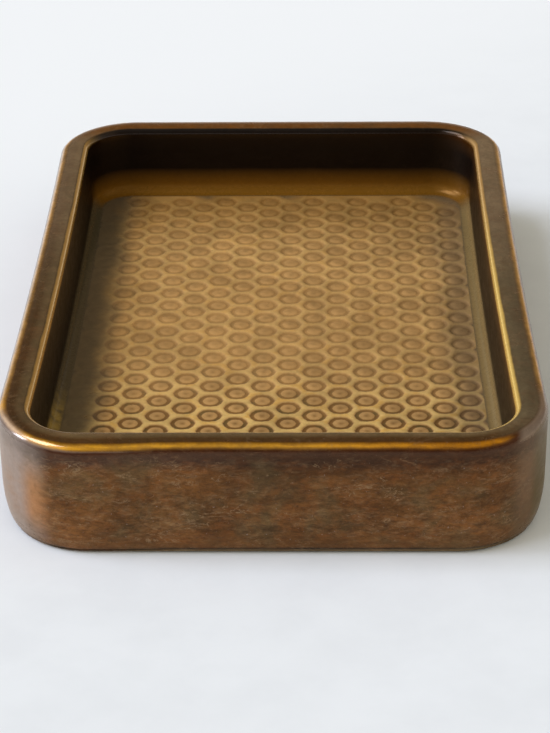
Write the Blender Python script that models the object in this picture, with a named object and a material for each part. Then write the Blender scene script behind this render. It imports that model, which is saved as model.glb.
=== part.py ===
# Stoneware soap dish: one fired tray with a honeycomb floor, standing on four rubber pads.
# Metres, +Z up. The dish stands on Z = 0, centred on X = Y = 0, with its length along Y.
import math

import bmesh
import bpy
from mathutils import Matrix

# Overall size of the tray
LENGTH = 0.1340           # over the rim, end to end
WIDTH = 0.0895            # over the rim at its ends
HEIGHT = 0.0208           # table to the top of the rim
SIDE_BOW = 0.00045        # each long side curves in by this at its middle
CORNER_R = 0.0150         # plan radius of the outer corners

# Rim and walls
RIM_W = 0.0054            # outside of the wall to the inside, at the rim
RIM_OUT_R = 0.0013        # rounding of the rim's outer edge
RIM_IN_R = 0.0011         # rounding of the rim's inner edge
INNER_CORNER_R = 0.0085   # plan radius of the inner corners
WALL_DRAFT = 0.0005       # how far the inner wall leans in on its way down
COVE_R = 0.0020           # rounding between the inner wall and the floor

# Foot and underside
BELLY_H = 0.0080          # height over which the outer wall curves in to the foot
FOOT_INSET = 0.00175      # outside of the wall to the outside of the foot ring
FOOT_W = 0.0030           # flat width of the foot ring
RECESS_DEPTH = 0.0018     # foot ring to the underside of the floor
RECESS_DRAFT = 0.0005     # lean of the recess wall
FLOOR_T = 0.0047          # underside of the floor to the top of the webs

# Honeycomb
CELL_PITCH = 0.00524      # between the centres of neighbouring cells
WEB_W = 0.0012            # raised web between two pockets
POCKET_DEPTH = 0.00055    # webs down to the groove round a pocket
POCKET_RUN = 0.00040      # width of a pocket's sloping side
DOME_H = 0.00020          # groove up to the middle of a pocket
POCKET_OVERCUT = 0.0003   # height of a pocket's cutter above the webs

# Rubber pads
PAD_D = 0.0090
PAD_EDGE_R = 0.0004       # rounding of the lower edge
PAD_MARGIN = 0.0030       # recess wall to the edge of a pad
PAD_PROUD = 0.0003        # foot ring above the table
PAD_FILM = 0.0003         # adhesive film between a pad and the tray

# Smoothness
CORNER_SEGMENTS = 7
SIDE_SEGMENTS = 6
COVE_SEGMENTS = 3
EDGE_SEGMENTS = 3
BELLY_SEGMENTS = 5
PAD_SEGMENTS = 24
PAD_EDGE_SEGMENTS = 2
SMOOTH_ANGLE = math.radians(35)

foot_z = PAD_PROUD
underside_z = foot_z + RECESS_DEPTH
floor_z = underside_z + FLOOR_T
floor_inset = RIM_W + WALL_DRAFT + COVE_R
recess_inset = FOOT_INSET + FOOT_W


def bow(y):
    """How far the long sides curve in at y, from nothing where the corners start."""
    straight = LENGTH / 2 - CORNER_R
    return SIDE_BOW * max(0, 1 - (y / straight) ** 2)


def outer_radius(inset):
    return CORNER_R - inset


def inner_radius(inset):
    return INNER_CORNER_R + RIM_W - inset


def outline(inset, radius, z):
    """Points round the tray, this far in from its outside, with the long sides bowed."""
    corner_x = WIDTH / 2 - inset - radius
    corner_y = LENGTH / 2 - inset - radius
    points = []
    for sign_x, sign_y, start in ((1, 1, 0), (-1, 1, 90), (-1, -1, 180), (1, -1, 270)):
        for step in range(CORNER_SEGMENTS + 1):
            angle = math.radians(start + 90 * step / CORNER_SEGMENTS)
            x = sign_x * corner_x + radius * math.cos(angle)
            y = sign_y * corner_y + radius * math.sin(angle)
            points.append((x, y))
        if sign_x * sign_y < 0:
            side_x = sign_x * (WIDTH / 2 - inset)
            for step in range(1, SIDE_SEGMENTS):
                y = sign_y * corner_y * (1 - 2 * step / SIDE_SEGMENTS)
                points.append((side_x, y))
    return [(x - math.copysign(bow(y), x), y, z) for x, y in points]


def quarter(segments):
    """Sine and cosine at each step of a quarter turn, from 0 to 90 degrees."""
    angles = [math.pi / 2 * step / segments for step in range(segments + 1)]
    return [(math.sin(angle), math.cos(angle)) for angle in angles]


def tray_sections():
    """Outlines from the floor's edge up the inside, over the rim, down and under the foot."""
    inner = []
    for sine, cosine in quarter(COVE_SEGMENTS):
        inner.append((floor_inset - COVE_R * sine, floor_z + COVE_R * (1 - cosine)))
    for sine, cosine in quarter(EDGE_SEGMENTS):
        inner.append((RIM_W - RIM_IN_R * (1 - cosine), HEIGHT - RIM_IN_R * (1 - sine)))
    outer = []
    for sine, cosine in quarter(EDGE_SEGMENTS):
        outer.append((RIM_OUT_R * (1 - sine), HEIGHT - RIM_OUT_R * (1 - cosine)))
    for sine, cosine in quarter(BELLY_SEGMENTS):
        outer.append((FOOT_INSET * (1 - cosine), foot_z + BELLY_H * (1 - sine)))
    outer.append((recess_inset, foot_z))
    outer.append((recess_inset + RECESS_DRAFT, underside_z))
    sections = [outline(inset, inner_radius(inset), z) for inset, z in inner]
    sections += [outline(inset, outer_radius(inset), z) for inset, z in outer]
    return sections


def skin(bm, sections):
    """Walls through the sections, with a face across each end."""
    rings = [[bm.verts.new(point) for point in section] for section in sections]
    for lower, upper in zip(rings, rings[1:]):
        for index in range(len(lower)):
            bm.faces.new((lower[index - 1], lower[index], upper[index], upper[index - 1]))
    for end in (rings[0], rings[-1]):
        bm.faces.new(end)


def new_object(name, bm, material):
    bmesh.ops.recalc_face_normals(bm, faces=bm.faces)
    mesh = bpy.data.meshes.new(name)
    bm.to_mesh(mesh)
    bm.free()
    mesh.materials.append(material)
    obj = bpy.data.objects.new(name, mesh)
    bpy.context.scene.collection.objects.link(obj)
    return obj


def make_material(name, color, roughness):
    material = bpy.data.materials.new(name)
    material.use_nodes = True
    shader = material.node_tree.nodes["Principled BSDF"]
    shader.inputs["Base Color"].default_value = (*color, 1)
    shader.inputs["Roughness"].default_value = roughness
    return material


def on_flat_floor(x, y):
    """Whether a point lies on the flat of the floor, clear of its cove."""
    radius = inner_radius(floor_inset)
    over_x = abs(x) + bow(y) - (WIDTH / 2 - floor_inset - radius)
    over_y = abs(y) - (LENGTH / 2 - floor_inset - radius)
    return math.hypot(max(over_x, 0), max(over_y, 0)) <= radius


def cell_centres():
    """Middles of the hexagons in staggered columns, where the pocket fits on the flat floor."""
    column_pitch = CELL_PITCH * math.sqrt(3) / 2
    pocket_r = pocket_radius()
    corners = [math.radians(60 * side) for side in range(6)]
    columns = math.ceil(WIDTH / 2 / column_pitch)
    rows = math.ceil(LENGTH / 2 / CELL_PITCH)
    centres = []
    for column in range(-columns, columns):
        x = (column + 0.5) * column_pitch
        stagger = -0.25 if column % 2 else 0.25
        for row in range(-rows, rows + 1):
            y = (row + stagger) * CELL_PITCH
            if all(on_flat_floor(x + pocket_r * math.cos(a), y + pocket_r * math.sin(a)) for a in corners):
                centres.append((x, y))
    return centres


def pocket_radius():
    """Corner radius of a pocket at the top of the webs."""
    return (CELL_PITCH - WEB_W) / 2 / math.cos(math.pi / 6)


def make_honeycomb_cutter(material):
    """Hexagonal pockets with sloping sides and a low dome in the middle of each."""
    slope = POCKET_RUN / math.cos(math.pi / 6) / POCKET_DEPTH
    top_r = pocket_radius() + slope * POCKET_OVERCUT
    bottom_r = pocket_radius() - slope * POCKET_DEPTH
    depth = POCKET_DEPTH + POCKET_OVERCUT
    middle_z = floor_z + POCKET_OVERCUT - depth / 2
    flat_top = Matrix.Rotation(math.radians(30), 4, "Z")
    bm = bmesh.new()
    for x, y in cell_centres():
        place = Matrix.Translation((x, y, middle_z)) @ flat_top
        made = bmesh.ops.create_cone(bm, cap_ends=True, segments=6, radius1=bottom_r,
                                     radius2=top_r, depth=depth, matrix=place)
        faces = {face for vert in made["verts"] for face in vert.link_faces}
        bottom = min(faces, key=lambda face: face.calc_center_median().z)
        dome = bmesh.ops.poke(bm, faces=[bottom])
        bmesh.ops.translate(bm, verts=dome["verts"], vec=(0, 0, DOME_H))
    cutter = new_object("honeycomb_cutter", bm, material)
    cutter.hide_render = True
    cutter.display_type = "WIRE"
    return cutter


def make_tray(material):
    """The fired body, with its honeycomb sunk into the floor."""
    bm = bmesh.new()
    skin(bm, tray_sections())
    tray = new_object("tray", bm, material)
    cut = tray.modifiers.new("Honeycomb", "BOOLEAN")
    cut.operation = "DIFFERENCE"
    cut.solver = "EXACT"
    cut.object = make_honeycomb_cutter(material)
    tray.data.shade_smooth()
    tray.data.set_sharp_from_angle(angle=SMOOTH_ANGLE)
    return tray


def make_pad_mesh(material):
    """A round pad with its lower edge rounded and its origin at the middle of its base."""
    height = RECESS_DEPTH + PAD_PROUD - PAD_FILM
    bm = bmesh.new()
    bmesh.ops.create_cone(bm, cap_ends=True, segments=PAD_SEGMENTS, radius1=PAD_D / 2,
                          radius2=PAD_D / 2, depth=height,
                          matrix=Matrix.Translation((0, 0, height / 2)))
    lower_edge = [edge for edge in bm.edges if max(vert.co.z for vert in edge.verts) < height / 2]
    bmesh.ops.bevel(bm, geom=lower_edge, offset=PAD_EDGE_R, segments=PAD_EDGE_SEGMENTS,
                    affect="EDGES", profile=0.5, material=-1)
    bmesh.ops.recalc_face_normals(bm, faces=bm.faces)
    mesh = bpy.data.meshes.new("pad")
    bm.to_mesh(mesh)
    bm.free()
    mesh.materials.append(material)
    mesh.shade_smooth()
    mesh.set_sharp_from_angle(angle=SMOOTH_ANGLE)
    return mesh


def place_pads(material):
    """One pad in each corner of the recess inside the foot ring."""
    mesh = make_pad_mesh(material)
    reach = recess_inset + RECESS_DRAFT + PAD_MARGIN + PAD_D / 2
    pad_y = LENGTH / 2 - reach
    pad_x = WIDTH / 2 - reach - bow(pad_y)
    for end, sign_y in (("front", -1), ("back", 1)):
        for side, sign_x in (("left", -1), ("right", 1)):
            pad = bpy.data.objects.new(f"pad_{end}_{side}", mesh)
            pad.location = (sign_x * pad_x, sign_y * pad_y, 0)
            bpy.context.scene.collection.objects.link(pad)


for old in list(bpy.data.objects):
    bpy.data.objects.remove(old, do_unlink=True)

make_tray(make_material("bronze_glaze", (0.16, 0.075, 0.030), 0.22))
place_pads(make_material("grey_rubber", (0.10, 0.10, 0.10), 0.75))
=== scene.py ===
import math
import bmesh
import bpy
from mathutils import Matrix, Vector


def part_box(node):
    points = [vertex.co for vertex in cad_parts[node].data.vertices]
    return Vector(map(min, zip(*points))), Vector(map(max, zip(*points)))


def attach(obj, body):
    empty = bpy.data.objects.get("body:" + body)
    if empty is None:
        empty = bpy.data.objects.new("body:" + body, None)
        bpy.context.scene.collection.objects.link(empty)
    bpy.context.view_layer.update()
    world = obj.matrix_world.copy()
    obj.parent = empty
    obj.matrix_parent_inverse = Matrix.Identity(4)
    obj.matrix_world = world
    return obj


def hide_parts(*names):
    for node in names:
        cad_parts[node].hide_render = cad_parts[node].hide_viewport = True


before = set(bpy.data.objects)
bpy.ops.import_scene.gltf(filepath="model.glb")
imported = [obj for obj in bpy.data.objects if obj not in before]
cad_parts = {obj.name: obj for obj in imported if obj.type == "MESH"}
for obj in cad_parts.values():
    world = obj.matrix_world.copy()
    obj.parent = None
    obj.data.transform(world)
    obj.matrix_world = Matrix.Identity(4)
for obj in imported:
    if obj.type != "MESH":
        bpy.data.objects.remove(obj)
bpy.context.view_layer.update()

# A stoneware soap dish: a glazed tray with a honeycomb floor, standing on four rubber pads.
# The meshes are modelled in millimetres and made metres at the end, +Z up, length along Y.
metre = 1000
near = 0.001                    # millimetres: what lies closer than this is the same place
trayLow, trayHigh = [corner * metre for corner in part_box("tray")]

tray = {
    "sideBow": 0.45,            # the long sides curve in by this at their middles
    "cornerRadius": 15.0,
    "innerCornerRadius": 8.5,
    "rimWidth": 5.4,
    "rimOuterRadius": 1.3,
    "rimInnerRadius": 1.1,
    "rimCrown": 0.12,           # the rim's middle stands this far above its edges
    "wallDraft": 0.5,
    "coveRadius": 2.0,
    "bellyHeight": 8.0,
    "footInset": 1.75,
    "footWidth": 3.0,
    "footRounding": 0.3,
    "recessDepth": 1.8,
    "recessDraft": 0.5,
    "recessCorner": 0.3,        # middle of the rounding under the floor, as a share of footRounding
    "floorThickness": 4.7,
    "clayHeight": 0.58,         # bare clay above the foot
    "clayLean": 0.2,
    # rings up the bare clay, as a share of footRounding in and of clayHeight up
    "clayRings": [(0.3, 0.0), (0.09, 0.09), (0, 0.3), (0, 0.6), (0, 0.9)],
    "glazeStep": 0.1,           # thickness of the glaze where it stops
    # rings over that step, as a share of glazeStep in and millimetres up
    "glazeRings": [(0.9, 0.0), (0.35, 0.01), (0.05, 0.06), (0.0, 0.14)],
    "bellyStart": 0.25,         # above the bare clay
    "bellyRing": 0.6,           # rings round the outer wall: above the belly,
    "middleRing": 14.0,         # above the table,
    "shoulderRing": 0.5,        # and below the rim's rounding
    "wellRings": (0.06, 0.5, 0.94),   # rings down the inner wall, as shares of its height
    "undersideRing": 1.0,       # a ring under the floor, this far inside the recess
    "endRings": (0.5, 0),       # rings across a short side, each at this share of the last one's x
    "footSteps": 3,
    "bellySteps": 9,
    "filletSteps": 8,
    "rimSteps": 8,
    "coveSteps": 7,
    "cornerSteps": 20,
    "sideSteps": 6,
}
tray["halfWidth"] = trayHigh.x
tray["halfLength"] = trayHigh.y
tray["top"] = trayHigh.z
tray["footZ"] = trayLow.z
tray["undersideZ"] = tray["footZ"] + tray["recessDepth"]
tray["floorZ"] = tray["undersideZ"] + tray["floorThickness"]
tray["floorInset"] = tray["rimWidth"] + tray["wallDraft"] + tray["coveRadius"]

honeycomb = {
    "pitch": 5.24,
    "columns": 16,
    "rows": 22,
    "stagger": 0.25,            # of the pitch, up in one column and down in the next
    "pocketReach": 2.33,        # a cell is left out where this much round its middle isn't flat floor
    "weld": 0.05,               # neighbouring cells share their corners within this
    "halfWeb": 0.37,
    "webDrop": 0.05,            # a web's edges lie this far below its middle
    "cornerRounding": 0.75,     # 0 leaves a pocket a hexagon, 1 makes it round
    "sides": [(0.28, -0.23, 0.08), (0.42, -0.03, 0.0), (0.30, 0.16, 0.72)],  # in, up, relief
    "dimple": 0.05,
    "webRelief": 0.90,          # relief is what the glaze follows, from 0 in a groove to 1 on a web
    "dimpleRelief": 0.34,
    "edgeGap": 0.03,            # the outermost webs stop this far short of the cove
    "filledBeyond": -31.75,     # left of this x the glaze has filled the pockets
    "filledDepth": 0.12,        # to this share of their depth
}


def finishMesh(bm, name, materials, slot, *nodes):
    mesh = bpy.data.meshes.new(name)
    bmesh.ops.scale(bm, vec=(1 / metre,) * 3, verts=bm.verts[:])
    bm.to_mesh(mesh)
    bm.free()
    for material in materials:
        mesh.materials.append(material)
    mesh.shade_smooth()
    piece = bpy.data.objects.new(name, mesh)
    bpy.context.scene.collection.objects.link(piece)
    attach(piece, "root")
    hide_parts(*nodes)
    return piece


def vertsOf(made):
    return [item for item in made if isinstance(item, bmesh.types.BMVert)]


def edgesOf(made):
    return [item for item in made if isinstance(item, bmesh.types.BMEdge)]


def quarterTurns(steps):
    return [math.pi / 2 * step / steps for step in range(steps + 1)]


def sideBow(y):
    straight = tray["halfLength"] - tray["cornerRadius"]
    return tray["sideBow"] * max(0, 1 - (y / straight) ** 2)


def bellyInset(z):
    sine = 1 - (z - tray["footZ"]) / tray["bellyHeight"]
    return tray["footInset"] * (1 - math.sqrt(max(0, 1 - sine * sine)))


def trayProfile():
    # The wall's section as (inset from the outside, height), from the recess out and over to the floor,
    # and the places along it, in millimetres from the foot's outer edge, that the glaze follows.
    marks = {}
    rounding = tray["footRounding"]
    recess = tray["footInset"] + tray["footWidth"]
    recessTop = recess + tray["recessDraft"]
    corner = rounding * tray["recessCorner"]
    points = [(recessTop + rounding, tray["undersideZ"]), (recessTop + corner, tray["undersideZ"] - corner),
              (recessTop, tray["undersideZ"] - rounding)]
    for turn in quarterTurns(tray["footSteps"]):
        inset = recess - rounding * (1 - math.cos(turn))
        points.append((inset, tray["footZ"] + rounding * (1 - math.sin(turn))))

    clayTop = tray["footZ"] + tray["clayHeight"]
    clayInset = bellyInset(clayTop) + tray["glazeStep"]
    points.append((clayInset + tray["clayLean"] + rounding, tray["footZ"]))
    marks["foot"] = len(points)
    for inward, up in tray["clayRings"]:
        inset = clayInset + tray["clayLean"] * (1 - up) + rounding * inward
        points.append((inset, tray["footZ"] + tray["clayHeight"] * up))
    marks["glazeLine"] = len(points)
    for inward, up in tray["glazeRings"]:
        points.append((bellyInset(clayTop + up) + tray["glazeStep"] * inward, clayTop + up))
    start = math.asin(1 - (tray["clayHeight"] + tray["bellyStart"]) / tray["bellyHeight"])
    for step in range(tray["bellySteps"] + 1):
        z = tray["footZ"] + tray["bellyHeight"] * (1 - math.sin(start * (1 - step / tray["bellySteps"])))
        points.append((bellyInset(z), z))
    marks["bellyTop"] = len(points) - 1

    shoulder = tray["top"] - tray["rimCrown"]
    wallTop = shoulder - tray["rimOuterRadius"]
    points.append((0, tray["footZ"] + tray["bellyHeight"] + tray["bellyRing"]))
    points.append((0, tray["middleRing"]))
    points.append((0, wallTop - tray["shoulderRing"]))
    marks["rimOuter"] = len(points)
    for turn in quarterTurns(tray["filletSteps"]):
        inset = tray["rimOuterRadius"] * (1 - math.cos(turn))
        points.append((inset, wallTop + tray["rimOuterRadius"] * math.sin(turn)))
    marks["rimTop"] = len(points) - 1
    flat = tray["rimWidth"] - tray["rimOuterRadius"] - tray["rimInnerRadius"]
    for step in range(1, tray["rimSteps"]):
        share = step / tray["rimSteps"]
        fall = tray["rimCrown"] * (2 * share - 1) ** 2
        points.append((tray["rimOuterRadius"] + flat * share, tray["top"] - fall))
    marks["rimInner"] = len(points)

    innerTop = shoulder - tray["rimInnerRadius"]
    for turn in quarterTurns(tray["filletSteps"]):
        inset = tray["rimWidth"] - tray["rimInnerRadius"] * (1 - math.sin(turn))
        points.append((inset, innerTop + tray["rimInnerRadius"] * math.cos(turn)))
    marks["wellWall"] = len(points) - 1
    coveTop = tray["floorZ"] + tray["coveRadius"]
    wallFoot = tray["floorInset"] - tray["coveRadius"]
    for share in tray["wellRings"]:
        inset = tray["rimWidth"] + (wallFoot - tray["rimWidth"]) * share
        points.append((inset, innerTop + (coveTop - innerTop) * share))
    marks["cove"] = len(points)
    for turn in quarterTurns(tray["coveSteps"]):
        inset = wallFoot + tray["coveRadius"] * (1 - math.cos(turn))
        points.append((inset, coveTop - tray["coveRadius"] * math.sin(turn)))
    marks["floor"] = len(points) - 1

    lengths = [0]
    for (inset, z), (nextInset, nextZ) in zip(points, points[1:]):
        lengths.append(lengths[-1] + math.hypot(nextInset - inset, nextZ - z))
    along = [length - lengths[marks["foot"]] for length in lengths]
    return points, along, {name: along[index] for name, index in marks.items()}


profile, alongProfile, glazeMarks = trayProfile()


def tightenCorner(bm, cornerX, cornerY):
    # The inside corners are rounded more tightly than the outside ones.
    insetLayer = bm.verts.layers.float["inset"]
    alongLayer = bm.verts.layers.float["along"]
    tighter = tray["cornerRadius"] - tray["rimWidth"] - tray["innerCornerRadius"]
    flat = tray["rimWidth"] - tray["rimInnerRadius"] - tray["rimOuterRadius"]
    for vert in bm.verts:
        if vert.co.y < cornerY - near or vert[alongLayer] <= glazeMarks["rimTop"]:
            continue
        turn = math.atan2(vert.co.y - cornerY, vert.co.x - cornerX)
        shift = tighter * min(1, max(0, (vert[insetLayer] - tray["rimOuterRadius"]) / flat))
        vert.co.x += shift * (1 - math.cos(turn))
        vert.co.y += shift * (1 - math.sin(turn))


def sweepWall(bm):
    # One quarter of the wall: the section pushed along the long side, spun round the corner, pushed across.
    insetLayer = bm.verts.layers.float["inset"]
    alongLayer = bm.verts.layers.float["along"]
    chain = []
    for (inset, z), along in zip(profile, alongProfile):
        vert = bm.verts.new((tray["halfWidth"] - inset, 0, z))
        vert[insetLayer] = inset
        vert[alongLayer] = along
        chain.append(vert)
    edges = [bm.edges.new(pair) for pair in zip(chain, chain[1:])]
    cornerX = tray["halfWidth"] - tray["cornerRadius"]
    cornerY = tray["halfLength"] - tray["cornerRadius"]
    for step in range(tray["sideSteps"]):
        made = bmesh.ops.extrude_edge_only(bm, edges=edges)["geom"]
        bmesh.ops.translate(bm, verts=vertsOf(made), vec=(0, cornerY / tray["sideSteps"], 0))
        edges = edgesOf(made)
    made = bmesh.ops.spin(bm, geom=vertsOf(made) + edges, cent=(cornerX, cornerY, 0), axis=(0, 0, 1),
                          angle=math.pi / 2, steps=tray["cornerSteps"], use_merge=False)["geom_last"]
    tightenCorner(bm, cornerX, cornerY)
    for share in tray["endRings"]:
        made = bmesh.ops.extrude_edge_only(bm, edges=edgesOf(made))["geom"]
        for vert in vertsOf(made):
            vert.co.x *= share
    for axis in ("X", "Y"):
        bmesh.ops.mirror(bm, geom=bm.verts[:] + bm.edges[:] + bm.faces[:], matrix=Matrix(), merge_dist=-1,
                         axis=axis)
    bmesh.ops.remove_doubles(bm, verts=bm.verts[:], dist=near)
    for vert in bm.verts:
        vert.co.x -= math.copysign(sideBow(vert.co.y), vert.co.x)


def floorReach(y):
    # half the width of the floor's flat at y
    radius = tray["innerCornerRadius"] + tray["rimWidth"] - tray["floorInset"]
    over = max(0, abs(y) - (tray["halfLength"] - tray["floorInset"] - radius))
    if over >= radius:
        return 0
    return tray["halfWidth"] - tray["floorInset"] - radius + math.sqrt(radius ** 2 - over ** 2) - sideBow(y)


def cellCentres():
    pitch = honeycomb["pitch"]
    reach = honeycomb["pocketReach"]
    turns = [math.radians(60 * side) for side in range(6)]
    corners = [(reach * math.cos(turn), reach * math.sin(turn)) for turn in turns]
    for column in range(honeycomb["columns"]):
        x = (column - (honeycomb["columns"] - 1) / 2) * pitch * math.sqrt(3) / 2
        stagger = honeycomb["stagger"] * (-1 if column % 2 else 1)
        for row in range(honeycomb["rows"] + 1):
            y = (row - honeycomb["rows"] / 2 + stagger) * pitch
            if all(abs(x + cornerX) <= floorReach(y + cornerY) for cornerX, cornerY in corners):
                yield x, y


def newSheet():
    bm = bmesh.new()
    for name in ("inset", "along", "relief"):
        bm.verts.layers.float.new(name)
    return bm


def cellsOf(bm):
    return [face for face in bm.faces if len(face.verts) == 12]   # hexagons with their sides halved


def sinkCells(bm, inward, up, relief, rounding=0):
    # one ring inside every cell
    reliefLayer = bm.verts.layers.float["relief"]
    bmesh.ops.inset_individual(bm, faces=cellsOf(bm), thickness=inward, depth=up, use_even_offset=True)
    for face in cellsOf(bm):
        middle = face.calc_center_median()
        inner = min((vert.co - middle).length for vert in face.verts)
        for vert in face.verts:
            vert[reliefLayer] = relief
            out = vert.co - middle
            vert.co -= out * (1 - inner / out.length) * rounding


def pressHoneycomb():
    bm = newSheet()
    alongLayer = bm.verts.layers.float["along"]
    reliefLayer = bm.verts.layers.float["relief"]
    flatTop = Matrix.Rotation(math.radians(30), 4, "Z")
    cellRadius = honeycomb["pitch"] / math.sqrt(3)
    for x, y in cellCentres():
        place = Matrix.Translation((x, y, tray["floorZ"])) @ flatTop
        bmesh.ops.create_circle(bm, cap_ends=True, segments=6, radius=cellRadius, matrix=place)
    bmesh.ops.remove_doubles(bm, verts=bm.verts[:], dist=honeycomb["weld"])
    bmesh.ops.bisect_edges(bm, edges=bm.edges[:], cuts=1)
    for vert in bm.verts:
        vert[reliefLayer] = 1
    sinkCells(bm, honeycomb["halfWeb"], -honeycomb["webDrop"], honeycomb["webRelief"],
              honeycomb["cornerRounding"])
    for inward, up, relief in honeycomb["sides"]:
        sinkCells(bm, inward, up, relief)
    for vert in bmesh.ops.poke(bm, faces=cellsOf(bm))["verts"]:
        vert.co.z -= honeycomb["dimple"]
        vert[reliefLayer] = honeycomb["dimpleRelief"]
    for vert in bm.verts:
        vert[alongLayer] = glazeMarks["floor"] + 1
        if vert.is_boundary:     # the outermost webs keep to the flat of the floor
            reach = floorReach(vert.co.y) - honeycomb["edgeGap"]
            vert.co.x = math.copysign(min(abs(vert.co.x), reach), vert.co.x)
        if vert.co.x < honeycomb["filledBeyond"]:
            vert.co.z = tray["floorZ"] + (vert.co.z - tray["floorZ"]) * honeycomb["filledDepth"]
            vert[reliefLayer] = 1 - (1 - vert[reliefLayer]) * honeycomb["filledDepth"]
    sheet = bpy.data.meshes.new("honeycomb")
    bm.to_mesh(sheet)
    bm.free()
    return sheet


def makeTray(material):
    bm = newSheet()
    alongLayer = bm.verts.layers.float["along"]
    sweepWall(bm)
    underside = [edge for edge in bm.edges if edge.is_boundary
                 and all(abs(vert[alongLayer] - alongProfile[0]) < near for vert in edge.verts)]
    base = bmesh.ops.edgeloop_fill(bm, edges=underside)["faces"]
    bmesh.ops.inset_region(bm, faces=base, thickness=tray["undersideRing"], depth=0)
    bm.from_mesh(pressHoneycomb())
    margin = [edge for edge in bm.edges if edge.is_boundary]
    bmesh.ops.triangle_fill(bm, use_beauty=True, use_dissolve=False, edges=margin, normal=(0, 0, 1))
    bmesh.ops.recalc_face_normals(bm, faces=bm.faces[:])
    print("tray:", len(bm.faces), "faces,", sum(not edge.is_manifold for edge in bm.edges), "open edges")
    return finishMesh(bm, "trayBody", [material], "bronze_glaze", "tray")


pad = {
    "diameter": 9.0,
    "edgeRadius": 0.4,
    "edgeSteps": 5,
    "hollow": 0.12,              # the underside is dished by this,
    "hollowMargin": 0.5,         # this far in from its edge,
    "hollowSlope": 1.0,          # over this width
    "filmDiameter": 8.2,
    "segments": 64,
}


def addDisc(bm, diameter, middle, height):
    place = Matrix.Translation(middle)
    return bmesh.ops.create_cone(bm, cap_ends=True, segments=pad["segments"], radius1=diameter / 2,
                                 radius2=diameter / 2, depth=height, matrix=place)["verts"]


def makePad(node, rubber, film):
    low, high = [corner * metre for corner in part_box(node)]
    middle = (low + high) / 2
    bm = bmesh.new()
    addDisc(bm, pad["diameter"], (middle.x, middle.y, (low.z + high.z) / 2), high.z - low.z)
    lower = [edge for edge in bm.edges if max(vert.co.z for vert in edge.verts) < middle.z]
    bmesh.ops.bevel(bm, geom=lower, offset=pad["edgeRadius"], segments=pad["edgeSteps"], affect="EDGES",
                    profile=0.5, material=-1)
    base = [face for face in bm.faces if len(face.verts) == pad["segments"] and face.normal.z < 0]
    bmesh.ops.inset_region(bm, faces=base, thickness=pad["hollowMargin"], depth=0)
    bmesh.ops.inset_region(bm, faces=base, thickness=pad["hollowSlope"], depth=-pad["hollow"])
    filmMiddle = (middle.x, middle.y, (high.z + tray["undersideZ"]) / 2)
    filmVerts = addDisc(bm, pad["filmDiameter"], filmMiddle, tray["undersideZ"] - high.z)
    for face in {face for vert in filmVerts for face in vert.link_faces}:
        face.material_index = 1
    name = "".join(word.capitalize() for word in node.split("_"))
    return finishMesh(bm, name[0].lower() + name[1:], [rubber, film], "grey_rubber", node)


def newTree(name):
    material = bpy.data.materials.new(name)
    material.use_nodes = True
    tree = material.node_tree
    return material, tree, tree.nodes["Principled BSDF"]


def addNode(tree, kind, inputs=None, **settings):
    made = tree.nodes.new("ShaderNode" + kind)
    for name, value in settings.items():
        setattr(made, name, value)
    for name, value in (inputs or {}).items():
        if isinstance(value, bpy.types.NodeSocket):
            tree.links.new(value, made.inputs[name])
        else:
            made.inputs[name].default_value = value
    return made


def mixColor(tree, factor, first, second, blend="MIX"):
    # the Mix node has its colours on sockets 6 and 7, and gives one on 2
    first, second = [(*color, 1) if isinstance(color, tuple) else color for color in (first, second)]
    inputs = {0: factor, 6: first, 7: second}
    return addNode(tree, "Mix", inputs, data_type="RGBA", blend_type=blend).outputs[2]


def calculate(tree, operation, first, second):
    return addNode(tree, "Math", {0: first, 1: second}, operation=operation).outputs[0]


def absolute(tree, value):
    return addNode(tree, "Math", {0: value}, operation="ABSOLUTE").outputs[0]


def remap(tree, value, low, high, newLow=0, newHigh=1):
    return addNode(tree, "MapRange", {"Value": value, "From Min": low, "From Max": high, "To Min": newLow,
                                      "To Max": newHigh}, interpolation_type="SMOOTHSTEP").outputs[0]


def noise(tree, where, size, detail=4, roughness=0.55, distortion=0):
    # size is the width of one blotch in millimetres
    return addNode(tree, "TexNoise", {"Vector": where, "Scale": metre / size, "Detail": detail,
                                      "Roughness": roughness, "Distortion": distortion}).outputs["Fac"]


def ramp(tree, value, stops):
    # stops are (place, colour or grey), with the places in the units of the value
    low, high = stops[0][0], stops[-1][0]
    share = addNode(tree, "MapRange", {"Value": value, "From Min": low, "From Max": high}).outputs[0]
    made = addNode(tree, "ValToRGB", {"Fac": share})
    points = made.color_ramp.elements
    for index, (place, color) in enumerate(stops):
        position = (place - low) / (high - low)
        if index < 2:            # a new ramp has two points already
            point = points[index]
            point.position = position
        else:
            point = points.new(position)
        point.color = (*color, 1) if isinstance(color, tuple) else (color, color, color, 1)
    return made.outputs["Color"]


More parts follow.
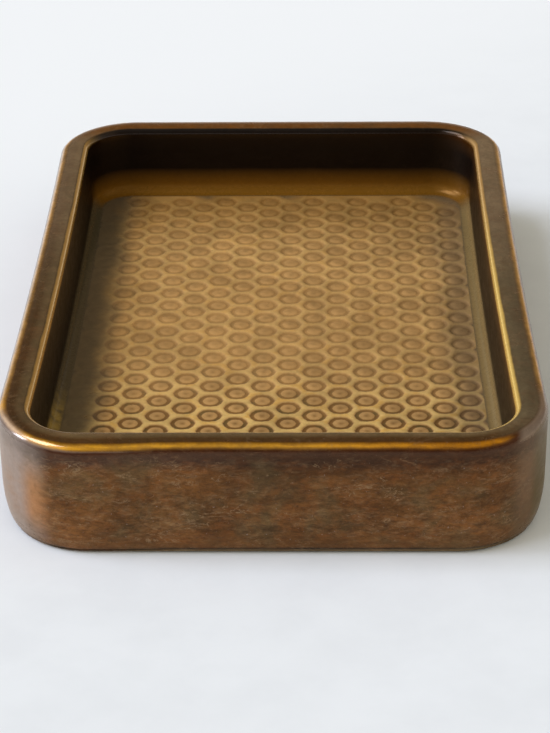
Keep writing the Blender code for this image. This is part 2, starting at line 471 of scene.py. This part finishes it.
glaze = {
    "bareClay": (0.19, 0.130, 0.068),
    "clayShade": (0.040, 0.027, 0.014),
    "footLine": (0.022, 0.010, 0.005),
    "lowerWall": (0.160, 0.066, 0.019),
    "middleWall": (0.145, 0.058, 0.015),
    "plum": (0.075, 0.034, 0.019),
    "night": (0.030, 0.016, 0.011),
    "umber": (0.055, 0.020, 0.006),
    "redBrown": (0.055, 0.012, 0.001),
    "amber": (0.88, 0.40, 0.010),
    "redAmber": (0.66, 0.24, 0.002),
    "rimAmber": (0.19, 0.058, 0.001),
    "rimBrown": (0.088, 0.040, 0.010),
    "rimOlive": (0.175, 0.113, 0.048),
    # the gold inner edge: thin glaze, painted brighter where it faces the light, tan on the left and duller
    # at the far end where it is in shade
    "gold": (1.0, 0.66, 0.17),
    "farGold": (0.62, 0.33, 0.12),
    "tan": (0.68, 0.39, 0.10),
    "sideTan": (0.78, 0.40, 0.085),
    # painted highlight on the outer edge at the front-left corner
    "cornerHighlight": (0.60, 0.43, 0.31),
    "darkAmber": (0.105, 0.032, 0.002),
    "wallTop": (0.040, 0.015, 0.003),
    "black": (0.004, 0.0015, 0.0007),
    "coveAmber": (0.22, 0.092, 0.008),
    "coveOlive": (0.100, 0.074, 0.038),
    # painted glint in the side coves towards the front
    "coveStreak": (0.42, 0.27, 0.060),
    "coveTan": (0.275, 0.180, 0.068),
    "marginOlive": (0.215, 0.145, 0.065),
    # painted shadow of the left wall on the floor, and the dark pool along the right side
    "pooled": (0.132, 0.100, 0.064),
    "rust": (0.185, 0.060, 0.014),
    "olive": (0.115, 0.082, 0.036),
    "haze": (0.34, 0.215, 0.115),
    # tints of the painted reflections at the wall's corners; the pink one also colours the specks
    "copperReflectionTint": (0.52, 0.25, 0.110),
    "pinkHaze": (0.35, 0.28, 0.24),
    "warmHaze": (0.22, 0.135, 0.075),
    "oliveReflectionTint": (0.10, 0.072, 0.022),
    # painted reflection on the rim, paler towards the back and the right
    "rimHaze": (0.27, 0.185, 0.105),
    "rimGrey": (0.165, 0.135, 0.080),
    # painted reflection on the edge of the right front corner
    "cornerReflectionTint": (0.30, 0.215, 0.150),
    "web": (0.87, 0.57, 0.195),
    "webOrange": (0.80, 0.43, 0.085),
    "pocket": (0.61, 0.340, 0.122),
    "groove": (0.200, 0.092, 0.024),
    "grooveOlive": (0.105, 0.075, 0.024),
}

# the honeycomb's colours by relief
reliefColors = [(0, "groove"), (0.25, "groove"), (0.58, "pocket"), (0.76, "pocket"), (0.95, "web"),
                (1, "web")]

# Mapping scales: more than 1 squeezes a pattern along that axis, less stretches it
glazeStretch = {
    "flow": (1, 1, 2.2),
    "runsDown": (0.3, 0.3, 3),
    "threads": (0.7, 0.7, 1.8),
}

# Noises: what they lie on, the width of a blotch in millimetres, then detail, roughness and distortion.
glazeGrain = {
    "cloud": ("flow", 3.4, 9, 0.70, 0.6),
    "blotch": ("where", 10, 6, 0.62, 0.5),
    "fine": ("where", 0.8, 4, 0.7),
    "waver": ("where", 7),
    "runs": ("runsDown", 1.2, 4),
    "mist": ("flow", 2.0, 10, 0.78, 0.5),
    "pits": ("flow", 1.1, 8, 0.75, 0.3),
    "swell": ("where", 13, 3, 0.6),
    "sand": ("flow", 2.6, 9, 0.84, 0.4),
    "thread": ("threads", 3.2, 6, 0.65, 0.8),
    "threadPatch": ("threads", 4.5, 3),
    "dots": ("where", 0.45, 2, 0.5),
    "webPatch": ("where", 3.0, 3),
    "floorPatch": ("where", 6, 4, 0.6, 0.6),
    "covePatch": ("where", 2.5),
    "dents": ("where", 5, 3),
}

# Bands along the wall's section: what they follow, then (mark, millimetres past it, colour or strength).
# along is the place on the section, place is the same with a wavering edge, and sagging sags at the left.
glazeBands = {
    "wall": ("sagging", [
        ("foot", -12, "middleWall"), ("foot", -5.2, "middleWall"), ("foot", -4.8, "bareClay"),
        ("foot", -1.4, "bareClay"), ("foot", -1.0, "clayShade"), ("foot", 0.05, "clayShade"),
        ("foot", 0.20, "bareClay"), ("glazeLine", -0.18, "bareClay"), ("glazeLine", -0.02, "footLine"),
        ("glazeLine", 0.35, "footLine"), ("glazeLine", 0.75, "lowerWall"), ("bellyTop", -2.0, "lowerWall"),
        ("bellyTop", 3.0, "middleWall"), ("rimOuter", -3.2, "middleWall"), ("rimOuter", -1.3, "plum"),
        ("rimOuter", 0.10, "plum"), ("rimOuter", 0.40, "redBrown"), ("rimTop", 0.1, "redBrown"),
        ("rimTop", 0.6, "rimBrown"), ("rimTop", 1.3, "rimBrown"), ("rimInner", -0.6, "rimOlive"),
        ("rimInner", 0.2, "rimOlive"), ("wellWall", -0.3, "darkAmber"), ("wellWall", 0.8, "wallTop"),
        ("wellWall", 3.2, "black"), ("cove", -0.2, "black"), ("cove", 0.8, "coveOlive"),
        ("floor", -0.5, "coveOlive"), ("floor", 0.4, "marginOlive")]),
    # the amber glaze break on the outer edge, partly a painted line highlight
    "amberEdge": ("sagging", [
        ("rimOuter", 0.60, 0), ("rimOuter", 0.85, 0.14), ("rimOuter", 1.10, 0.55), ("rimOuter", 1.30, 0.95),
        ("rimOuter", 1.50, 1), ("rimOuter", 1.80, 0.75), ("rimTop", 0.3, 0.08), ("rimTop", 0.5, 0)]),
    "onRim": ("place", [("rimTop", -0.5, 0), ("rimTop", 0.5, 1), ("rimInner", 0, 1), ("rimInner", 0.6, 0)]),
    "goldEdge": ("place", [
        ("rimInner", 0.15, 0), ("rimInner", 0.5, 1), ("rimInner", 1.15, 1), ("wellWall", 0.1, 0)]),
    "wellShadow": ("place", [
        ("rimInner", -0.1, 0), ("rimInner", 0.5, 1), ("cove", -2.5, 1), ("cove", -0.5, 0)]),
    "mottling": ("along", [
        ("foot", -12, 0.5), ("glazeLine", 0.6, 0.5), ("bellyTop", -3, 1.0), ("rimOuter", -2.0, 0.7),
        ("rimOuter", 0, 0.15), ("rimTop", 0, 0.3), ("rimInner", 0, 0.4), ("rimInner", 0.4, 0.05),
        ("wellWall", 0, 0.0), ("floor", 0, 0.05)]),
    "underRim": ("place", [
        ("rimOuter", -2.9, 0), ("rimOuter", -1.7, 1), ("rimOuter", -0.9, 1), ("rimOuter", -0.3, 0.35),
        ("rimOuter", 0.4, 0.5), ("rimOuter", 0.7, 0)]),
    "upperWall": ("place", [
        ("rimOuter", -5.0, 0), ("rimOuter", -3.4, 1), ("rimOuter", -0.5, 1), ("rimOuter", 0.3, 0)]),
    # where the painted reflections at the corners lie on the outer wall
    "outside": ("along", [
        ("glazeLine", 0.5, 0.3), ("glazeLine", 1.5, 0.75), ("bellyTop", -1, 1), ("rimOuter", -3.4, 1),
        ("rimOuter", -1.6, 0.62), ("rimOuter", 0.4, 0.62), ("rimOuter", 0.8, 0)]),
    # where the right corner's painted reflection lies on the edge
    "cornerEdge": ("along", [
        ("rimOuter", -0.2, 0), ("rimOuter", 0.4, 0.7), ("rimTop", -0.2, 0.7), ("rimTop", 0.3, 0)]),
    "endCove": ("place", [("cove", -3.5, 0), ("cove", 0.8, 1), ("floor", -0.5, 1), ("floor", 0.4, 0)]),
    "sideCove": ("along", [("cove", -0.2, 0), ("cove", 0.9, 1), ("floor", -0.4, 1), ("floor", 0.5, 0)]),
    "roughness": ("along", [
        ("foot", -12, 0.4), ("foot", -5.2, 0.4), ("foot", -4.8, 0.85), ("glazeLine", -0.1, 0.85),
        ("glazeLine", 0.1, 0.25), ("bellyTop", 0, 0.40), ("rimOuter", -1, 0.34), ("rimOuter", 0.5, 0.22),
        ("rimInner", 1, 0.18), ("wellWall", 1, 0.42), ("cove", -1, 0.42), ("cove", 1, 0.24),
        ("floor", 0, 0.26), ("floor", 1, 0.32)]),
    "lustre": ("along", [
        ("foot", -12, 0.3), ("foot", -5.2, 0.3), ("foot", -4.8, 0), ("glazeLine", -0.1, 0),
        ("glazeLine", 0.1, 0.4), ("rimOuter", 0, 0.4), ("rimOuter", 0.5, 0.2), ("rimTop", 0, 0.4),
        ("rimInner", 0, 0.4), ("rimInner", 0.5, 0.6), ("wellWall", 0.2, 0.4), ("wellWall", 1, 0.1),
        ("floor", 0, 0.25)]),
    "coat": ("sagging", [
        ("foot", -12, 0), ("rimOuter", 0.55, 0.03), ("rimOuter", 0.95, 1), ("rimOuter", 1.6, 1),
        ("rimTop", 0, 0.3), ("rimTop", 1, 0.1), ("rimInner", 0, 0.1), ("rimInner", 0.5, 0.5),
        ("wellWall", 1, 0), ("floor", 0, 0)]),
}

# Smooth steps: what they follow, where they start and end there, and the strength at both if not 0 and 1.
# across is x and back is y in millimetres, aside is x without its sign, and drift is x with wavering edges.
glazeZones = {
    "sagStart": ("across", -45, -34),
    "sagEnd": ("across", -29, -12, 0.42, 0),
    "sagFront": ("back", -58, -50, 1, 0),
    "farEnd": ("back", 55, 63),
    "toRight": ("across", -30, 30),
    # edges and rim
    "redder": ("across", -5, 36),
    "onSides": ("aside", 41, 43.8),
    "pastFront": ("back", -58, -44),
    "leftCorner": ("across", -38, -41.5, 0, 0.75),
    "frontCorner": ("back", -53, -58),
    "amberRuns": ("runs", 0.34, 0.6, 0.65, 1),
    "amberRight": ("across", 35.5, 39, 1, 0.05),
    "amberBack": ("back", -56, -42, 1, 0.5),
    "greyRight": ("across", 34, 42, 0, 0.65),
    "nightLeft": ("across", -36, -41, 0, 0.3),
    # where the rim's painted reflection grows, towards the back and the right
    "hazyBack": ("back", -25, 35, 0, 0.6),
    "hazyRight": ("across", 0, 40, 1, 1.5),
    "dimLeft": ("across", -30, -36, 0, 0.85),
    "goldBack": ("back", -15, 40, 0, 0.75),
    "goldStop": ("back", 52, 60, 1, 0),
    # mottling of the outside
    "nightRight": ("across", -30, 25, 0.25, 0.7),
    "umberRight": ("across", -18, 5, 0, 0.5),
    "rustClouds": ("cloud", 0.45, 0.66),
    "oliveBlotches": ("blotch", 0.47, 0.66),
    "hazePatches": ("mist", 0.46, 0.72),
    "darkPits": ("pits", 0.36, 0.52, 0.45, 0),
    "swellTone": ("swell", 0.36, 0.64, 0.74, 1.18),
    "leftTone": ("across", -32, 0, 1.16, 0.93),
    "sandTone": ("sand", 0.37, 0.63, 0.60, 1.34),
    "wisps": ("threadGap", 0, 0.02, 1, 0),
    "wispPatches": ("threadPatch", 0.50, 0.62, 0, 0.8),
    "specks": ("dots", 0.70, 0.76),
    # painted reflections at the corners
    "cloudShare": ("cloud", 0.3, 0.6, 0.55, 0.95),
    "onFront": ("back", -45, 10, 1, 0.3),
    "rightCorner": ("across", 38.6, 40.2),
    "rightFront": ("back", -46, -54),
    "towardRim": ("along", ("bellyTop", 3), ("rimOuter", -1)),
    "towardFoot": ("along", ("bellyTop", -1), ("glazeLine", 1.5), 0, 0.8),
    "copperVeil": ("across", -34.8, -38.4, 0, 0.75),
    "pinkVeil": ("across", -38.2, -41.0, 0, 0.9),
    "warmVeil": ("across", 37.5, 40.5, 0, 0.6),
    "oliveVeil": ("across", 41.2, 42.8, 0, 0.8),
    # the honeycomb
    "onWebs": ("relief", 0.8, 0.95),
    "orangePatches": ("webPatch", 0.5, 0.66, 0, 0.7),
    "inGrooves": ("relief", 0.45, 0.25),
    "olivePatches": ("webPatch", 0.50, 0.36, 0, 0.8),
    "evenBack": ("back", -46, -5, 0, 0.68),
    "amberFloor": ("back", 30, 60, 0, 0.6),
    "stains": ("blotch", 0.42, 0.66),
    "floorTone": ("floorPatch", 0.36, 0.62, 0.87, 1.09),
    "floorLeft": ("across", -28, 30, 1.13, 0.93),
    "onFloor": ("along", ("floor", 0), ("floor", 1)),
    # margins and coves
    "atEnd": ("back", 50, 57),
    "beforeEnd": ("back", 57, 50),
    "towardFront": ("back", -20, -40),
    # patches of the painted glint in the side coves
    "coveStreaks": ("covePatch", 0.3, 0.6),
    # the painted shadow of the left wall on the floor's left side
    "leftPool": ("drift", -34.5, -27.5, 0.90, 0),
    "rightPool": ("drift", 28, 35, 0, 0.45),
    "level": ("along", ("floor", -0.6), ("floor", 0.4)),
    # gloss
    "roughClouds": ("cloud", 0.3, 0.7, -0.05, 0.08),
    "coatRight": ("across", 0, 40, 1, 0.3),
}

# plain numbers that the layers are multiplied by
glazeShares = {
    "waverWidth": 0.4,           # millimetres
    "driftWidth": 7,
    "sideShare": 0.85,
    "farShare": 0.9,
    "rustShare": 0.6,
    "oliveShare": 0.65,
    "hazeShare": 0.42,
    "speckShare": 0.6,
    "stainShare": 0.14,
    "fineBump": 0.25,
}

glazeFinish = {
    "fineShade": [(0.3, 0.84), (0.7, 1.0)],
    "bump": {"Strength": 0.35, "Distance": 0.00012},
    "sockets": {
        "Coat Roughness": 0.15,
        "Coat IOR": 1.8,
        "IOR": 1.45,
        "Specular IOR Level": 0.22,
        "Specular Tint": (1, 0.86, 0.68, 1),
    },
}


def lookUp(tree, at, name):
    # A number or a socket is taken as it is. A grain, band or zone is made when its name is first used.
    if not isinstance(name, str):
        return name
    if name in at:
        return at[name]
    if name in glazeGrain:
        follows, *shape = glazeGrain[name]
        at[name] = noise(tree, at[follows], *shape)
    elif name in glazeBands:
        follows, stops = glazeBands[name]
        stops = [(glazeMarks[mark] + past, glaze.get(value, value)) for mark, past, value in stops]
        at[name] = ramp(tree, at[follows], stops)
    else:
        follows, *limits = glazeZones[name]
        limits = [glazeMarks[limit[0]] + limit[1] if isinstance(limit, tuple) else limit for limit in limits]
        at[name] = remap(tree, lookUp(tree, at, follows), *limits)
    return at[name]


def product(tree, at, first, *others):
    result = lookUp(tree, at, first)
    for other in others:
        result = calculate(tree, "MULTIPLY", result, lookUp(tree, at, other))
    return result


def larger(tree, at, first, second):
    return calculate(tree, "MAXIMUM", lookUp(tree, at, first), lookUp(tree, at, second))


def paint(tree, at, color, tint, *shares):
    # the tint over the colour, as strongly as the product of the shares
    tint = glaze[tint] if isinstance(tint, str) else tint
    return mixColor(tree, product(tree, at, *shares), color, tint)


def fromMiddle(tree, at, grain):
    return calculate(tree, "SUBTRACT", lookUp(tree, at, grain), 0.5)


def placesOn(tree):
    # what the glaze follows, by name: sockets and plain numbers
    where = addNode(tree, "TexCoord").outputs["Object"]
    axes = addNode(tree, "SeparateXYZ", {"Vector": where}).outputs
    at = {"where": where, **glazeShares}
    at["across"] = calculate(tree, "MULTIPLY", axes["X"], metre)
    at["back"] = calculate(tree, "MULTIPLY", axes["Y"], metre)
    at["aside"] = absolute(tree, at["across"])
    for name in ("along", "relief"):
        at[name] = addNode(tree, "Attribute", attribute_name=name).outputs["Fac"]
    for name, scale in glazeStretch.items():
        at[name] = addNode(tree, "Mapping", {"Vector": where, "Scale": scale}).outputs["Vector"]
    waver = product(tree, at, fromMiddle(tree, at, "waver"), "waverWidth")
    at["place"] = calculate(tree, "ADD", at["along"], waver)
    at["sagging"] = calculate(tree, "ADD", at["place"], product(tree, at, "sagStart", "sagEnd", "sagFront"))
    drift = product(tree, at, fromMiddle(tree, at, "blotch"), "driftWidth")
    at["drift"] = calculate(tree, "ADD", at["across"], drift)
    at["threadGap"] = absolute(tree, fromMiddle(tree, at, "thread"))
    return at


def paintEdges(tree, at, color):
    # the glaze breaks amber on the outer edge, most of all along the front, partly a painted highlight, and
    # gold on the inner edge, painted brighter where it faces the light
    sides = product(tree, at, "onSides", "pastFront")
    amber = paint(tree, at, glaze["amber"], "redAmber", "redder")
    amber = paint(tree, at, amber, "sideTan", sides)
    # a pale painted highlight on the outer edge at the front-left corner
    amber = paint(tree, at, amber, "cornerHighlight", "leftCorner", "frontCorner")
    edge = product(tree, at, "amberEdge", "amberRuns")
    fade = product(tree, at, "amberRight", "amberBack")
    fade = larger(tree, at, fade, product(tree, at, sides, "sideShare"))
    color = paint(tree, at, color, amber, edge, fade)
    color = paint(tree, at, color, "rimGrey", "onRim", "greyRight")
    color = paint(tree, at, color, "night", "onRim", "nightLeft")
    # a pale painted reflection on the rim towards the back and the right
    color = paint(tree, at, color, "rimHaze", "onRim", product(tree, at, "hazyBack", "hazyRight"))
    color = paint(tree, at, color, "rimAmber", "onRim", product(tree, at, "farEnd", "farShare"))
    color = paint(tree, at, color, "black", "wellShadow", larger(tree, at, "farEnd", "dimLeft"))
    # the gold edge painted bright where it faces the light, and darker in shade on the left and at the far
    # end
    gold = paint(tree, at, glaze["gold"], "farGold", "goldBack")
    gold = paint(tree, at, glaze["tan"], gold, "toRight")
    return paint(tree, at, color, gold, "goldEdge", "goldStop")


def mottleOutside(tree, at, color):
    # dark under the rim, then rust, olive and haze, with threads and specks
    color = paint(tree, at, color, "night", "underRim", "nightRight")
    color = paint(tree, at, color, "umber", "upperWall", "umberRight")
    color = paint(tree, at, color, "rust", "rustClouds", product(tree, at, "mottling", "rustShare"))
    color = paint(tree, at, color, "olive", "oliveBlotches", product(tree, at, "mottling", "oliveShare"))
    color = paint(tree, at, color, "haze", "hazePatches", "mottling", "hazeShare")
    color = paint(tree, at, color, "plum", "darkPits", "mottling")
    tone = product(tree, at, "swellTone", "leftTone", "sandTone")
    color = mixColor(tree, lookUp(tree, at, "mottling"), color, tone, "MULTIPLY")
    color = paint(tree, at, color, "haze", "wisps", "wispPatches", "mottling")
    return paint(tree, at, color, "pinkHaze", "specks", "mottling", "speckShare")


def paintCornerReflections(tree, at, color):
    # painted reflections: pale where the front wall turns into the sides, copper and pink at the left, warm
    # and olive at the right, and on the right corner's edge
    color = paint(tree, at, color, "cornerReflectionTint", "cornerEdge", "rightCorner", "rightFront")
    copper = paint(tree, at, glaze["copperReflectionTint"], "pinkHaze", larger(tree, at, "towardRim", "towardFoot"))
    outside = product(tree, at, "outside", "cloudShare")
    # each painted reflection's mask and its tint
    reflectionTints = {"copperVeil": copper, "pinkVeil": "pinkHaze", "warmVeil": "warmHaze", "oliveVeil": "oliveReflectionTint"}
    for reflectionMask, tint in reflectionTints.items():
        color = paint(tree, at, color, tint, reflectionMask, "onFront", outside)
    return color


def paintFloor(tree, at, color):
    # pale gold on the webs, darker where the glaze has run into the pockets
    floor = ramp(tree, at["relief"], [(place, glaze[name]) for place, name in reliefColors])
    floor = paint(tree, at, floor, "webOrange", "onWebs", "orangePatches")
    floor = paint(tree, at, floor, "grooveOlive", "inGrooves", "olivePatches")
    floor = paint(tree, at, floor, "pocket", "evenBack")
    floor = paint(tree, at, floor, "coveAmber", "amberFloor")
    floor = paint(tree, at, floor, "groove", "stains", "stainShare")
    floor = mixColor(tree, 1.0, floor, product(tree, at, "floorTone", "floorLeft"), "MULTIPLY")
    return paint(tree, at, color, floor, "onFloor")


def fillMargins(tree, at, color):
    # amber in the far cove, olive and tan in the side coves with a painted glint towards the front, a
    # painted shadow of the left wall along the floor's left side, and a dark pool along its right side
    color = paint(tree, at, color, "coveAmber", "endCove", "atEnd")
    # a painted glint in the side coves towards the front
    side = paint(tree, at, glaze["coveOlive"], "coveStreak", "towardFront", "coveStreaks")
    side = paint(tree, at, side, "coveTan", "toRight")
    color = paint(tree, at, color, side, "sideCove", "beforeEnd")
    # painted shadow of the left wall over the floor's left margin
    color = paint(tree, at, color, "pooled", "leftPool", "level")
    return paint(tree, at, color, "pooled", "rightPool", "level")


def makeGlaze():
    material, tree, shader = newTree("bronzeGlaze")
    at = placesOn(tree)
    color = lookUp(tree, at, "wall")
    for layer in (paintEdges, mottleOutside, paintCornerReflections, paintFloor, fillMargins):
        color = layer(tree, at, color)
    shade = ramp(tree, lookUp(tree, at, "fine"), glazeFinish["fineShade"])
    color = mixColor(tree, 1.0, color, shade, "MULTIPLY")
    roughness = calculate(tree, "ADD", lookUp(tree, at, "roughness"), lookUp(tree, at, "roughClouds"))
    height = calculate(tree, "ADD", product(tree, at, "fine", "fineBump"), lookUp(tree, at, "dents"))
    bump = addNode(tree, "Bump", {**glazeFinish["bump"], "Height": height})
    tree.links.new(color, shader.inputs["Base Color"])
    tree.links.new(roughness, shader.inputs["Roughness"])
    tree.links.new(lookUp(tree, at, "lustre"), shader.inputs["Metallic"])
    tree.links.new(bump.outputs["Normal"], shader.inputs["Normal"])
    tree.links.new(product(tree, at, "coat", "coatRight"), shader.inputs["Coat Weight"])
    for socket, value in glazeFinish["sockets"].items():
        shader.inputs[socket].default_value = value
    return material


padFinish = {
    "rubberGrain": (0.35, 3),    # blotch width in millimetres, detail
    "rubberColors": [(0.3, (0.075, 0.075, 0.078)), (0.7, (0.12, 0.12, 0.122))],
    "rubberRoughness": (0.3, 0.7, 0.66, 0.82),
    "rubberBump": {"Strength": 0.3, "Distance": 0.00003},
    "filmGrain": (0.6, 2),
    "filmColors": [(0.3, (0.52, 0.50, 0.45)), (0.7, (0.60, 0.58, 0.53))],
    "filmRoughness": 0.5,
}


def makeRubber():
    material, tree, shader = newTree("greyRubber")
    where = addNode(tree, "TexCoord").outputs["Object"]
    grain = noise(tree, where, *padFinish["rubberGrain"])
    bump = addNode(tree, "Bump", {**padFinish["rubberBump"], "Height": grain})
    tree.links.new(ramp(tree, grain, padFinish["rubberColors"]), shader.inputs["Base Color"])
    tree.links.new(remap(tree, grain, *padFinish["rubberRoughness"]), shader.inputs["Roughness"])
    tree.links.new(bump.outputs["Normal"], shader.inputs["Normal"])
    return material


def makeFilm():
    material, tree, shader = newTree("adhesiveFilm")
    where = addNode(tree, "TexCoord").outputs["Object"]
    grain = noise(tree, where, *padFinish["filmGrain"])
    tree.links.new(ramp(tree, grain, padFinish["filmColors"]), shader.inputs["Base Color"])
    shader.inputs["Roughness"].default_value = padFinish["filmRoughness"]
    return material


studio = {
    "tableSize": 4.0,
    "tableGrain": (14, 6, 0.6),  # blotch width in millimetres, detail, roughness
    "tableColors": [(0.35, (0.815, 0.822, 0.84)), (0.6, (0.845, 0.852, 0.87))],
    "tableRoughness": 0.9,
    "tableSpecular": 0.05,
    # the table is painted paler to the far left, a painted pool of light, and plain again past that: (Y - X
    # in metres from, to), colour
    "paintedTableLight": [((-0.03, 0.18), (0.915, 0.915, 0.925)), ((0.32, 0.7), (0.845, 0.852, 0.87))],
    "skyStrength": 0.58,
    "frontShare": 1.6,           # the sky is stronger in front and weaker behind
    "backShare": 0.40,
    "skyColor": (1.0, 0.965, 0.82),
    "backdrop": (0.92, 0.92, 0.92),   # what the camera and the gloss see near the horizon
    "horizon": [(0.10, 1.0), (0.22, 0.0)],
    # above it the room, from the left to the right, from the horizon to overhead, and from front to back
    "sideGlow": [(-1.0, 0.95), (-0.7, 0.95), (-0.3, 0.10), (0.4, 0.10), (1.0, 0.35)],
    "overheadGlow": [(0.75, 0.0), (0.95, 0.14)],
    "behindGlow": [(0.3, (0, 0, 0)), (0.75, (0.24, 0.175, 0.11))],
    "windowColor": (0.74, 0.82, 1.0),
    "windowDistance": 12.0,
    # watts, size in metres, degrees from the left towards the back, degrees above the table
    "windows": {
        "highWindow": (860, (7.5, 6.0), -10, 51),
        "lowWindow": (560, (3.6, 4.8), -1, 17),
    },
}


def makeTable():
    bm = bmesh.new()
    bmesh.ops.create_grid(bm, x_segments=1, y_segments=1, size=studio["tableSize"] / 2)
    mesh = bpy.data.meshes.new("tableTop")
    bm.to_mesh(mesh)
    bm.free()
    table = bpy.data.objects.new("tableTop", mesh)
    bpy.context.scene.collection.objects.link(table)
    material, tree, shader = newTree("paleTable")
    where = addNode(tree, "TexCoord").outputs["Object"]
    axes = addNode(tree, "SeparateXYZ", {"Vector": where}).outputs
    farLeft = calculate(tree, "SUBTRACT", axes["Y"], axes["X"])
    color = ramp(tree, noise(tree, where, *studio["tableGrain"]), studio["tableColors"])
    # a painted pool of light on the table to the far left
    for (start, end), shade in studio["paintedTableLight"]:
        color = mixColor(tree, remap(tree, farLeft, start, end), color, shade)
    tree.links.new(color, shader.inputs["Base Color"])
    shader.inputs["Roughness"].default_value = studio["tableRoughness"]
    shader.inputs["Specular IOR Level"].default_value = studio["tableSpecular"]
    mesh.materials.append(material)


def makeSky():
    # a plain sky lights the dish, and the camera and the gloss see a room instead
    world = bpy.data.worlds.new("softStudio")
    bpy.context.scene.world = world
    world.use_nodes = True
    tree = world.node_tree
    light = tree.nodes["Background"]
    light.inputs["Color"].default_value = (*studio["skyColor"], 1)
    direction = addNode(tree, "TexCoord").outputs["Generated"]
    parts = addNode(tree, "SeparateXYZ", {"Vector": direction}).outputs
    strength = remap(tree, parts["Y"], -1, 1, studio["skyStrength"] * studio["frontShare"],
                     studio["skyStrength"] * studio["backShare"])
    tree.links.new(strength, light.inputs["Strength"])
    sides = ramp(tree, parts["X"], studio["sideGlow"])
    above = ramp(tree, parts["Z"], studio["overheadGlow"])
    behind = ramp(tree, parts["Y"], studio["behindGlow"])
    room = mixColor(tree, 1.0, calculate(tree, "MAXIMUM", sides, above), behind, "LIGHTEN")
    shade = mixColor(tree, ramp(tree, parts["Z"], studio["horizon"]), room, studio["backdrop"])
    backdrop = addNode(tree, "Background", {"Color": shade, "Strength": 1})
    rays = addNode(tree, "LightPath").outputs
    seen = calculate(tree, "MAXIMUM", rays["Is Camera Ray"], rays["Is Glossy Ray"])
    seen = calculate(tree, "MAXIMUM", seen, rays["Is Transmission Ray"])
    pick = addNode(tree, "MixShader", {0: seen, 1: light.outputs[0], 2: backdrop.outputs[0]})
    tree.links.new(pick.outputs[0], tree.nodes["World Output"].inputs["Surface"])


def hangWindows():
    for name, (watts, size, turn, height) in studio["windows"].items():
        lamp = bpy.data.lights.new(name, "AREA")
        lamp.shape = "RECTANGLE"
        lamp.size, lamp.size_y = size
        lamp.energy = watts
        lamp.color = studio["windowColor"]
        window = bpy.data.objects.new(name, lamp)
        bpy.context.scene.collection.objects.link(window)
        turn, height = math.radians(turn), math.radians(height)
        level = math.cos(height)
        away = Vector((-math.cos(turn) * level, math.sin(turn) * level, math.sin(height)))
        window.location = away * studio["windowDistance"]
        window.rotation_euler = away.to_track_quat("Z", "Y").to_euler()


view = {
    "place": (0.006691, -0.365298, 0.198281),
    "lens": 108.9,
    "sensor": 36,
    "clipStart": 0.01,
    "pitch": 28.678,             # degrees down
    "turn": 1.136,               # degrees to the left
    "roll": -0.609,
}


def makeCamera():
    data = bpy.data.cameras.new("camera")
    data.lens = view["lens"]
    data.sensor_width = view["sensor"]
    data.clip_start = view["clipStart"]
    camera = bpy.data.objects.new("camera", data)
    bpy.context.scene.collection.objects.link(camera)
    turned = Matrix.Rotation(math.radians(view["turn"]), 4, "Z")
    pitched = Matrix.Rotation(math.radians(90 - view["pitch"]), 4, "X")
    rolled = Matrix.Rotation(math.radians(view["roll"]), 4, "Z")
    camera.matrix_world = Matrix.Translation(view["place"]) @ turned @ pitched @ rolled
    bpy.context.scene.camera = camera


makeCamera()
print("camera placed")
makeTable()
makeSky()
hangWindows()
print("table, sky and windows made")
makeTray(makeGlaze())
print("tray made")
rubber, film = makeRubber(), makeFilm()
for node in ("pad_front_left", "pad_front_right", "pad_back_left", "pad_back_right"):
    makePad(node, rubber, film)
print("pads made")

bpy.context.scene.view_settings.view_transform = "Standard"
